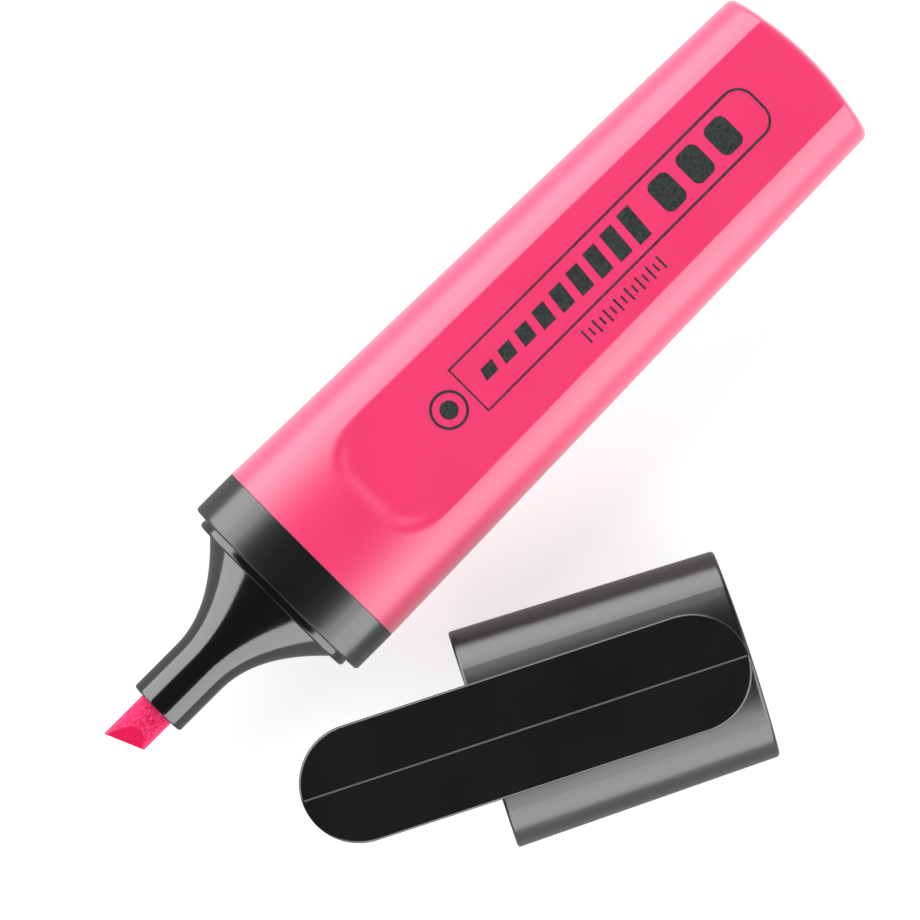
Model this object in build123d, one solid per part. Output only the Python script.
from build123d import *
import math
import os

# A flat highlighter with a chisel nib, and its cap lying beside it with the clip up.
# Millimetres. While a piece is being made, X = 0 is the seam between barrel and collar band, +X runs
# to the nib, +Z is up, and the pen's axis is the X axis. The cap is made with its mouth at X = 0 and
# its closed end at -X, and is then laid beside the pen. At the end everything is shifted so that the
# origin is at the middle of the whole set's underside.

# ---- pen body, outside ----
BAND_HALF_WIDTH = 13.6          # half the broad side at the band and at the cap's mouth
BAND_HALF_THICKNESS = 8.75      # half the narrow side at the same place
SIDE_STEP = 1.2                 # how much less the radius of the side arcs is than the half thickness
BAND_LENGTH = 6.1
BARREL_LENGTH = 84.4            # seam to the middle of the domed rear end
REAR_WIDTH_TAPER = 2.05         # from the band's half sizes to the rear end's
REAR_THICKNESS_TAPER = 1.0
REAR_RISE = 1.74                # how far the middle of the rear end stands behind its sides
REAR_EDGE_RADIUS = 1.1
BAND_EDGE_RADIUS = 0.45
SEAM_EDGE_RADIUS = 0.12

# ---- flat panels on both broad faces ----
PANEL_SETBACK = 8.5             # from the seam to the panel's front end
PANEL_DEPTH = 1.45              # below the crown of the oval
PANEL_HALF_WIDTH = 8.3          # just outside the line where the flat meets the oval
PANEL_REAR_HALF_WIDTH = 7.3
PANEL_CORNER_RADIUS = 5.4

# ---- pen body, inside ----
BARREL_WALL = 1.5
REAR_WALL = 2.2
PLUG_LENGTH = 9.0               # how far the nose reaches into the barrel
PLUG_CLEARANCE = 0.05
RIB_THICKNESS = 1.0
RIB_SPACING = 7.0               # between the two ribs on each broad side
RIB_FRONT_GAP = 2.0             # from the plug to the ribs
CAVITY_SIDE_STEP = 1.85         # as SIDE_STEP, for the cavity and the plug in it

# ---- nose ----
GROOVE_WIDTH = 0.12             # dark line between band and flange
GROOVE_DEPTH = 0.3
FLANGE_LENGTH = 0.9
FLANGE_EDGE_RADIUS = 0.42
FLARE_LENGTH = 12.08
FLARE_WIDTH_STEP = 1.7          # from the flange's half sizes to the flare's
FLARE_THICKNESS_STEP = 1.0
FLARE_STEPS = 7
NOZZLE_LENGTH = 7.1
NOZZLE_WALL = 1.42
NOZZLE_EDGE_RADIUS = 0.3
NIB_ENTRY_CONE = 3.0            # length of the cone between reservoir seat and nib bore
VENT_COUNT = 4
VENT_WIDTH = 0.6
VENT_DEPTH = 0.4

# ---- nib and reservoir ----
NIB_RADIUS = 2.4
NIB_REACH = 6.6                 # long side of the tip beyond the nozzle
NIB_INSIDE = 6.0                # length of the nib pushed into the reservoir
NIB_REAR_POINT = 2.6
NIB_CHAMFER_START = 3.0         # from the nozzle to where the chamfers begin
NIB_CHAMFER_ANGLE = 27.0
NIB_SLANT = 23.0                # of the writing edge
SEAT_SETBACK = 0.1              # of the reservoir's front end behind the flange
RESERVOIR_CLEARANCE = 0.5       # to the barrel's cavity at its narrow rear end
SEAT_CLEARANCE = 0.2            # to the ribs and to the seat in the nose
SLEEVE_WALL = 0.15
SLEEVE_BARE_END = 1.0

# ---- cap ----
CAP_LENGTH = 33.7
CAP_WIDTH_TAPER = 0.65          # from the mouth's half sizes to the closed end's
CAP_THICKNESS_TAPER = 0.45
CAP_WALL = 1.5
CAP_END_WALL = 1.8
CAP_END_RISE = 0.42
CAP_END_EDGE_RADIUS = 0.5
CAP_MOUTH_EDGE_RADIUS = 0.35
CAP_FIT_CLEARANCE = 0.15        # between the flange and the cap's mouth

# ---- seal cup in the cap ----
CUP_WALL = 0.8
CUP_FIT_CLEARANCE = 0.05        # between the nozzle and the seal bead
CUP_GRIP = 2.6                  # length of the nozzle inside the cup when the cap is on
CUP_BORE_CLEARANCE = 0.25
CUP_BEAD_LENGTH = 0.8
CUP_BASE_THICKNESS = 1.2
CUP_BASE_STEP = 1.33            # of the cup's foot outside its tube

# ---- clip ----
CLIP_LENGTH = 56.0
CLIP_HALF_WIDTH = 7.15
CLIP_THICKNESS = 1.9
CLIP_ROOF_DROP = 0.45           # from the centre line to the long edges
CLIP_EDGE_RADIUS = 0.3
CLIP_END_SETBACK = 0.4          # of the clip's round end inside the cap's closed end
CLIP_GAP = 0.9                  # between the cap's crown at the mouth and the clip
CLIP_LINE_RADIUS = 0.1
CLIP_LINE_HEIGHT = 0.07         # of the fine bead above the ridge
CLIP_LINE_INSET = 0.3           # of the bead from both ends
FOOT_LENGTH = 6.0
FOOT_WIDTH = 8.0
FOOT_FROM_END = 8.5             # cap's closed end to the middle of the foot
FOOT_CLEARANCE = 0.4            # round the foot in its slot
HOOK_HEIGHT = 0.6
HOOK_REACH = 0.7
HOOK_CLEARANCE = 0.35           # between the hooks and the inside of the wall
BUMP_RADIUS = 1.6
BUMP_HEIGHT = 1.1
BUMP_WIDTH = 8.0
BUMP_FROM_TIP = 4.0

# ---- where the cap lies beside the pen ----
CAP_MOUTH_AHEAD = 1.3           # cap's mouth centre ahead of the seam
CAP_YAW = -26.8                 # direction in which the mouth looks
CAP_CORNER_GAP = 4.56           # between the pen's side and the nearest corner of the mouth
DOCK_GAP = 4.1                  # nib to mouth once the cap has swung in front of the nib


# ---- worked out from the values above ----
REAR_HALF_WIDTH = BAND_HALF_WIDTH - REAR_WIDTH_TAPER
REAR_HALF_THICKNESS = BAND_HALF_THICKNESS - REAR_THICKNESS_TAPER
FLANGE_INSET = CAP_WALL + CAP_FIT_CLEARANCE
FLANGE_HALF_WIDTH = BAND_HALF_WIDTH - FLANGE_INSET
FLANGE_HALF_THICKNESS = BAND_HALF_THICKNESS - FLANGE_INSET
NOZZLE_RADIUS = NIB_RADIUS + NOZZLE_WALL
FLANGE_X = BAND_LENGTH + GROOVE_WIDTH
FLARE_X = FLANGE_X + FLANGE_LENGTH
NOZZLE_X = FLARE_X + FLARE_LENGTH
NOZZLE_END_X = NOZZLE_X + NOZZLE_LENGTH
NIB_TIP_X = NOZZLE_END_X + NIB_REACH
SEAT_X = FLANGE_X - SEAT_SETBACK
PLUG_REAR_X = -PLUG_LENGTH
CAVITY_REAR_X = -(BARREL_LENGTH - REAR_RISE - REAR_WALL)
SLEEVE_RADIUS = REAR_HALF_THICKNESS - PANEL_DEPTH - BARREL_WALL - RESERVOIR_CLEARANCE
RESERVOIR_RADIUS = SLEEVE_RADIUS - SLEEVE_WALL
SEAT_RADIUS = SLEEVE_RADIUS + SEAT_CLEARANCE
CUP_LIP_DEPTH = NOZZLE_END_X - BAND_LENGTH - CUP_GRIP
CUP_BORE_RADIUS = NOZZLE_RADIUS + CUP_BORE_CLEARANCE
CAP_END_HALF_WIDTH = BAND_HALF_WIDTH - CAP_WIDTH_TAPER
CAP_FLOOR_DEPTH = CAP_LENGTH - CAP_END_WALL - CAP_END_RISE
CAP_MOUTH_ASIDE = BAND_HALF_WIDTH * (1 + math.cos(math.radians(CAP_YAW))) + CAP_CORNER_GAP
CLIP_BOTTOM_Z = BAND_HALF_THICKNESS + CLIP_GAP
CLIP_REAR_X = -CAP_LENGTH + CLIP_END_SETBACK
CLIP_TIP_X = CLIP_REAR_X + CLIP_LENGTH
FOOT_X = -CAP_LENGTH + FOOT_FROM_END
SIDE_CUT = 2 * BAND_HALF_WIDTH  # reach of the tools that cut right across the pen


def between(start, end, share):
    """A value that runs straight from start to end."""
    return start + (end - start) * share


def broad_arc_radius(half_width, half_thickness, side_step=SIDE_STEP):
    """Radius of the broad arcs of a flat oval that meet its side arcs smoothly."""
    side_radius = half_thickness - side_step
    centre_y = half_width - side_radius
    return (centre_y**2 + half_thickness**2 - side_radius**2) / (2 * side_step)


def oval(x, half_width, half_thickness, side_step=SIDE_STEP):
    """Face across the X axis at x: a flat oval of two side arcs and two broad arcs that meet smoothly."""
    side_radius = half_thickness - side_step
    centre_y = half_width - side_radius
    broad_radius = broad_arc_radius(half_width, half_thickness, side_step)
    broad_centre = half_thickness - broad_radius
    reach = broad_radius / (broad_radius - side_radius)
    join_y = centre_y * reach
    join_z = broad_centre - broad_centre * reach
    right_top = (x, join_y, join_z)
    right_low = (x, join_y, -join_z)
    left_top = (x, -join_y, join_z)
    left_low = (x, -join_y, -join_z)
    outline = Wire([
        Edge.make_three_point_arc(right_low, (x, half_width, 0), right_top),
        Edge.make_three_point_arc(right_top, (x, 0, half_thickness), left_top),
        Edge.make_three_point_arc(left_top, (x, -half_width, 0), left_low),
        Edge.make_three_point_arc(left_low, (x, 0, -half_thickness), right_low),
    ])
    return Face(outline)


def ellipse_at(x, half_width, half_thickness):
    """Elliptical face across the X axis at x."""
    plane = Plane(origin=(x, 0, 0), x_dir=(0, 1, 0), z_dir=(1, 0, 0))
    return plane * Ellipse(half_width, half_thickness)


def rod(start_x, end_x, radius):
    """Round rod along the X axis."""
    length = end_x - start_x
    return Location((start_x, 0, 0)) * Rot(0, 90, 0) * Cylinder(
        radius, length, align=(Align.CENTER, Align.CENTER, Align.MIN))


def cone(start_x, end_x, start_radius, end_radius):
    """Round cone along the X axis."""
    length = end_x - start_x
    return Location((start_x, 0, 0)) * Rot(0, 90, 0) * Cone(
        start_radius, end_radius, length, align=(Align.CENTER, Align.CENTER, Align.MIN))


def block(start, end):
    """Box between two opposite corners."""
    size = [abs(second - first) for first, second in zip(start, end)]
    centre = [(first + second) / 2 for first, second in zip(start, end)]
    return Location(tuple(centre)) * Box(*size)


def edges_at(solid, x, smallest_reach, tolerance=0.01):
    """The outline edges of a solid's end face at x that lie at least smallest_reach from the axis."""
    found = []
    for edge in solid.edges():
        middle = edge.position_at(0.5)
        flat = all(abs(edge.position_at(share).X - x) < tolerance for share in (0, 0.5, 1))
        if flat and math.hypot(middle.Y, middle.Z) > smallest_reach:
            found.append(edge)
    return found


def edges_behind(solid, x):
    """The edges of a solid that lie wholly behind x."""
    return [edge for edge in solid.edges()
            if all(edge.position_at(share).X < x for share in (0, 0.5, 1))]


def domed_rear(solid, rear_x, half_width, rise):
    """The solid with its rear end cut to a large ball: its middle at rear_x, its sides rise ahead."""
    radius = (half_width**2 + rise**2) / (2 * rise)
    centre_x = rear_x + radius
    keep = Location((centre_x, 0, 0)) * Sphere(radius)
    front_x = centre_x + 2 * radius + SIDE_CUT
    keep = keep + rod(rear_x + 2 * rise, front_x, radius)
    return solid & keep


# ---- pen ----
def barrel_section(x, inset=0.0, crown_inset=0.0):
    """Section of the barrel at x, which is at most 0, drawn in by a wall and by more at the crown."""
    share = -x / BARREL_LENGTH
    half_width = between(BAND_HALF_WIDTH, REAR_HALF_WIDTH, share) - inset
    half_thickness = between(BAND_HALF_THICKNESS, REAR_HALF_THICKNESS, share) - inset - crown_inset
    side_step = CAVITY_SIDE_STEP if inset else SIDE_STEP
    return oval(x, half_width, half_thickness, side_step)


def panel_tool(side):
    """Tool for one flat panel: side is 1 on top and -1 below. Its floor follows the crown's taper."""
    front_x = -PANEL_SETBACK
    rear_x = -BARREL_LENGTH - REAR_RISE
    outline = Polyline(
        (rear_x, -PANEL_REAR_HALF_WIDTH), (front_x, -PANEL_HALF_WIDTH),
        (front_x, PANEL_HALF_WIDTH), (rear_x, PANEL_REAR_HALF_WIDTH), close=True)
    plan = make_face(outline)
    front_corners = plan.vertices().sort_by(Axis.X)[-2:]
    plan = fillet(front_corners, PANEL_CORNER_RADIUS)
    slope = REAR_THICKNESS_TAPER / BARREL_LENGTH
    floor_z = BAND_HALF_THICKNESS - PANEL_DEPTH
    tool = extrude(Location((0, 0, floor_z)) * plan, 4 * PANEL_DEPTH)
    tool = tool.rotate(Axis((0, 0, floor_z), (0, 1, 0)), -math.degrees(math.atan(slope)))
    if side < 0:
        tool = tool.mirror(Plane.XY)
    return tool


def barrel_ribs():
    """Two ribs on each broad side that hold the reservoir in the middle of the wide cavity."""
    front_x = PLUG_REAR_X - RIB_FRONT_GAP
    half_rib = RIB_THICKNESS / 2
    ribs = []
    for y in (-RIB_SPACING / 2, RIB_SPACING / 2):
        ribs.append(block((CAVITY_REAR_X, y - half_rib, -BAND_HALF_THICKNESS),
                          (front_x, y + half_rib, BAND_HALF_THICKNESS)))
    return Part() + ribs - rod(CAVITY_REAR_X, front_x, SEAT_RADIUS)


def barrel():
    """Outer shell with a domed rear end, two flat panels and ribs inside."""
    outer = loft([barrel_section(0), barrel_section(-BARREL_LENGTH)], ruled=True)
    outer = domed_rear(outer, -BARREL_LENGTH, REAR_HALF_WIDTH, REAR_RISE)
    outer = fillet(edges_behind(outer, -BARREL_LENGTH / 2), REAR_EDGE_RADIUS)
    outer = fillet(edges_at(outer, 0, BAND_HALF_THICKNESS / 2), SEAM_EDGE_RADIUS)
    outer = outer - panel_tool(1) - panel_tool(-1)
    cavity = loft([barrel_section(0, BARREL_WALL, PANEL_DEPTH),
                   barrel_section(CAVITY_REAR_X, BARREL_WALL, PANEL_DEPTH)], ruled=True)
    return outer - (cavity - barrel_ribs())


def plug_section(x):
    """Section of the part of the nose that is pressed into the barrel and the band."""
    return barrel_section(min(x, 0.0), BARREL_WALL + PLUG_CLEARANCE, PANEL_DEPTH)


def collar_band():
    """Satin ring between the barrel and the flange."""
    outer = extrude(oval(0, BAND_HALF_WIDTH, BAND_HALF_THICKNESS), BAND_LENGTH, dir=(1, 0, 0))
    outer = fillet(edges_at(outer, BAND_LENGTH, BAND_HALF_THICKNESS / 2), BAND_EDGE_RADIUS)
    outer = fillet(edges_at(outer, 0, BAND_HALF_THICKNESS / 2), SEAM_EDGE_RADIUS)
    hole = extrude(barrel_section(0, BARREL_WALL, PANEL_DEPTH), BAND_LENGTH, dir=(1, 0, 0))
    return outer - hole


def nose_flare():
    """Trumpet from the flange down to the nozzle: both half sizes fall as a parabola."""
    sections = []
    for step in range(FLARE_STEPS + 1):
        share = step / FLARE_STEPS
        fall = (1 - share)**2
        sections.append(ellipse_at(
            FLARE_X + FLARE_LENGTH * share,
            between(NOZZLE_RADIUS, FLANGE_HALF_WIDTH - FLARE_WIDTH_STEP, fall),
            between(NOZZLE_RADIUS, FLANGE_HALF_THICKNESS - FLARE_THICKNESS_STEP, fall)))
    return loft(sections)


def nose():
    """Front moulding: plug, flange, flare and nozzle, bored for the nib and hollow for the reservoir."""
    flange = extrude(oval(FLANGE_X, FLANGE_HALF_WIDTH, FLANGE_HALF_THICKNESS), FLANGE_LENGTH, dir=(1, 0, 0))
    flange = fillet(edges_at(flange, FLARE_X, FLANGE_HALF_THICKNESS / 2), FLANGE_EDGE_RADIUS)
    neck = oval(BAND_LENGTH, FLANGE_HALF_WIDTH - GROOVE_DEPTH, FLANGE_HALF_THICKNESS - GROOVE_DEPTH)
    neck = extrude(neck, GROOVE_WIDTH, dir=(1, 0, 0))
    shank = extrude(plug_section(0), BAND_LENGTH, dir=(1, 0, 0))
    plug = loft([plug_section(0), plug_section(PLUG_REAR_X)], ruled=True)
    nozzle = rod(NOZZLE_X, NOZZLE_END_X, NOZZLE_RADIUS)
    nozzle = fillet(edges_at(nozzle, NOZZLE_END_X, NIB_RADIUS), NOZZLE_EDGE_RADIUS)
    body = flange + neck + shank + plug + nose_flare() + nozzle
    cone_end_x = SEAT_X + NIB_ENTRY_CONE
    body = body - rod(PLUG_REAR_X, SEAT_X, SEAT_RADIUS)
    body = body - cone(SEAT_X, cone_end_x, SEAT_RADIUS, NIB_RADIUS)
    body = body - rod(cone_end_x, NOZZLE_END_X, NIB_RADIUS)
    half_vent = VENT_WIDTH / 2
    vent = block((cone_end_x, -half_vent, 0), (NOZZLE_END_X, half_vent, NIB_RADIUS + VENT_DEPTH))
    for turn in range(VENT_COUNT):
        body = body - Rot(360 * (turn + 0.5) / VENT_COUNT, 0, 0) * vent
    return body


def nib():
    """Felt rod with a slanted chisel edge, pointed at the rear."""
    rear_x = SEAT_X - NIB_INSIDE
    body = rod(rear_x + NIB_REAR_POINT, NIB_TIP_X, NIB_RADIUS)
    body = body + cone(rear_x, rear_x + NIB_REAR_POINT, NIB_RADIUS / 3, NIB_RADIUS)
    slant_turn = Rot(0, 0, NIB_SLANT)
    reach = SIDE_CUT
    front = block((0, -reach, -reach), (reach, reach, reach))
    body = body - Location((NIB_TIP_X, -NIB_RADIUS, 0)) * slant_turn * front
    start_x = NOZZLE_END_X + NIB_CHAMFER_START
    for side in (1, -1):
        wedge = block((0, -reach, 0), (reach, reach, reach))
        wedge = Rot(0, NIB_CHAMFER_ANGLE, 0) * wedge
        wedge = Location((start_x, 0, NIB_RADIUS)) * slant_turn * wedge
        if side < 0:
            wedge = wedge.mirror(Plane.XY)
        body = body - wedge
    return body


def reservoir_core():
    """Fibre rod, with the hollow that the nib's rear end presses into it."""
    return rod(CAVITY_REAR_X, SEAT_X, RESERVOIR_RADIUS) - nib()


def reservoir_sleeve():
    """Thin film round the fibre rod, bare at both ends."""
    start_x = CAVITY_REAR_X + SLEEVE_BARE_END
    end_x = SEAT_X - SLEEVE_BARE_END
    return rod(start_x, end_x, SLEEVE_RADIUS) - rod(start_x, end_x, RESERVOIR_RADIUS)


# ---- cap ----
def cap_size(depth, inset=0.0):
    """Half width and half thickness of the cap at a depth behind its mouth, drawn in by a wall."""
    share = depth / CAP_LENGTH
    half_width = BAND_HALF_WIDTH - CAP_WIDTH_TAPER * share - inset
    half_thickness = BAND_HALF_THICKNESS - CAP_THICKNESS_TAPER * share - inset
    return half_width, half_thickness


def cap_section(depth, inset=0.0):
    """Section of the cap at a depth behind its mouth, drawn in by a wall."""
    return oval(-depth, *cap_size(depth, inset))


def cap_shell():
    """Flat oval cap, open at the mouth, with a slot for the clip's foot."""
    outer = loft([cap_section(0), cap_section(CAP_LENGTH)], ruled=True)
    outer = domed_rear(outer, -CAP_LENGTH, CAP_END_HALF_WIDTH, CAP_END_RISE)
    outer = fillet(edges_behind(outer, -CAP_LENGTH / 2), CAP_END_EDGE_RADIUS)
    outer = fillet(edges_at(outer, 0, BAND_HALF_THICKNESS / 2), CAP_MOUTH_EDGE_RADIUS)
    cavity = loft([cap_section(0, CAP_WALL), cap_section(CAP_FLOOR_DEPTH, CAP_WALL)], ruled=True)
    slot_half_length = FOOT_LENGTH / 2 + FOOT_CLEARANCE
    slot_half_width = FOOT_WIDTH / 2 + FOOT_CLEARANCE
    slot = block((FOOT_X - slot_half_length, -slot_half_width, 0),
                 (FOOT_X + slot_half_length, slot_half_width, CLIP_BOTTOM_Z))
    return outer - cavity - slot


def inner_cap():
    """Seal cup on the cap's floor: a tube with a bead at its lip that closes on the nozzle."""
    outer_radius = CUP_BORE_RADIUS + CUP_WALL
    base_x = -CAP_FLOOR_DEPTH
    cup = rod(base_x, -CUP_LIP_DEPTH, outer_radius)
    cup = cup + rod(base_x, base_x + CUP_BASE_THICKNESS, outer_radius + CUP_BASE_STEP)
    cup = cup - rod(base_x + CUP_BASE_THICKNESS, -CUP_LIP_DEPTH, CUP_BORE_RADIUS)
    bead_x = -CUP_LIP_DEPTH - CUP_BEAD_LENGTH
    bead = rod(bead_x - CUP_BEAD_LENGTH, bead_x, CUP_BORE_RADIUS)
    bead = bead - rod(bead_x - CUP_BEAD_LENGTH, bead_x, NOZZLE_RADIUS + CUP_FIT_CLEARANCE)
    return cup + bead


def cap_ceiling(depth, y):
    """Height of the inside of the cap's top wall, at a depth and at y from the middle."""
    half_width, half_thickness = cap_size(depth, CAP_WALL)
    radius = broad_arc_radius(half_width, half_thickness)
    return half_thickness - radius + math.sqrt(radius**2 - y**2)


def clip_plate():
    """Stadium plate with a shallow ridged top and a fine round bead along the ridge."""
    centre_x = (CLIP_REAR_X + CLIP_TIP_X) / 2
    plan = SlotOverall(CLIP_LENGTH, 2 * CLIP_HALF_WIDTH)
    plate = extrude(Location((centre_x, 0, CLIP_BOTTOM_Z)) * plan, CLIP_THICKNESS)
    ridge_z = CLIP_BOTTOM_Z + CLIP_THICKNESS
    slope = math.degrees(math.atan(CLIP_ROOF_DROP / CLIP_HALF_WIDTH))
    for side in (1, -1):
        above = block((CLIP_REAR_X - 1, 0, 0), (CLIP_TIP_X + 1, side * SIDE_CUT, CLIP_THICKNESS))
        plate = plate - Location((0, 0, ridge_z)) * Rot(-side * slope, 0, 0) * above
    outline = [edge for edge in plate.edges() if not on_ridge(edge)]
    plate = fillet(outline, CLIP_EDGE_RADIUS)
    bead = rod(CLIP_REAR_X + CLIP_LINE_INSET, CLIP_TIP_X - CLIP_LINE_INSET, CLIP_LINE_RADIUS)
    return plate + Location((0, 0, ridge_z + CLIP_LINE_HEIGHT - CLIP_LINE_RADIUS)) * bead


def on_ridge(edge):
    """Whether an edge of the clip's plate is its centre ridge."""
    box = edge.bounding_box()
    return abs(box.min.Y) < 0.01 and abs(box.max.Y) < 0.01 and box.size.X > CLIP_HALF_WIDTH


def clip():
    """Plate, hooked foot at the root and a cross bump near the tip."""
    half_length = FOOT_LENGTH / 2
    half_width = FOOT_WIDTH / 2
    hook_top = cap_ceiling(-FOOT_X, half_width + HOOK_REACH) - HOOK_CLEARANCE
    hook_bottom = hook_top - HOOK_HEIGHT
    foot = block((FOOT_X - half_length, -half_width, hook_bottom),
                 (FOOT_X + half_length, half_width, CLIP_BOTTOM_Z + CLIP_THICKNESS / 2))
    hooks = block((FOOT_X - half_length, -half_width - HOOK_REACH, hook_bottom),
                  (FOOT_X + half_length, half_width + HOOK_REACH, hook_top))
    bump_x = CLIP_TIP_X - BUMP_FROM_TIP
    bump = Rot(90, 0, 0) * Cylinder(BUMP_RADIUS, BUMP_WIDTH)
    bump = Location((bump_x, 0, CLIP_BOTTOM_Z - BUMP_HEIGHT + BUMP_RADIUS)) * bump
    plate = clip_plate()
    keep = block((bump_x - BUMP_RADIUS, -BUMP_WIDTH, CLIP_BOTTOM_Z - BUMP_HEIGHT - 1),
                 (bump_x + BUMP_RADIUS, BUMP_WIDTH, CLIP_BOTTOM_Z + CLIP_THICKNESS / 2))
    return plate + foot + hooks + (bump & keep)


# ---- how the cap and the clip move ----
def cap_swing():
    """Pivot and turn in degrees that swing the cap from beside the pen to in front of the nib."""
    turn = -(180 + CAP_YAW)
    beside = Vector(CAP_MOUTH_AHEAD, CAP_MOUTH_ASIDE, 0)
    in_front = Vector(NIB_TIP_X + DOCK_GAP, 0, 0)
    step = in_front - beside
    across = Vector(-step.Y, step.X, 0)
    pivot = (beside + in_front) * 0.5 + across * (0.5 / math.tan(math.radians(turn) / 2))
    return pivot, turn


def clip_root():
    """Point on the axis about which the clip bends up: in the cap's wall, at the middle of the foot."""
    half_thickness = cap_size(-FOOT_X)[1]
    return Vector(FOOT_X, 0, half_thickness - CAP_WALL / 2)


# ---- the whole set ----
CAP_PLACE = Location((CAP_MOUTH_AHEAD, CAP_MOUTH_ASIDE, 0), (0, 0, CAP_YAW))


def pen_pieces():
    """Every piece that stays with the pen."""
    return {
        "barrel": barrel(),
        "collar_band": collar_band(),
        "nose": nose(),
        "nib": nib(),
        "reservoir_core": reservoir_core(),
        "reservoir_sleeve": reservoir_sleeve(),
    }


def cap_pieces():
    """Every piece that comes off with the cap, still in the cap's own place."""
    return {
        "cap_shell": cap_shell(),
        "inner_cap": inner_cap(),
        "clip": clip(),
    }


def whole_set():
    """All pieces in their places, and the shift that put the origin under the middle of the set."""
    pieces = pen_pieces()
    for name, piece in cap_pieces().items():
        pieces[name] = CAP_PLACE * piece
    box = Compound(children=[Compound(piece.solids()) for piece in pieces.values()]).bounding_box()
    centre = box.center()
    shift = Location((-centre.X, -centre.Y, -box.min.Z))
    return {name: shift * piece for name, piece in pieces.items()}, shift


def main():
    os.makedirs("parts", exist_ok=True)
    pieces, shift = whole_set()
    for name, piece in pieces.items():
        export_step(piece, f"parts/{name}.step")
    pivot, turn = cap_swing()
    print("cap swings", turn, "degrees about", (shift * Pos(pivot)).position)
    print("clip bends about", (shift * CAP_PLACE * Pos(clip_root())).position)


if __name__ == "__main__":
    main()
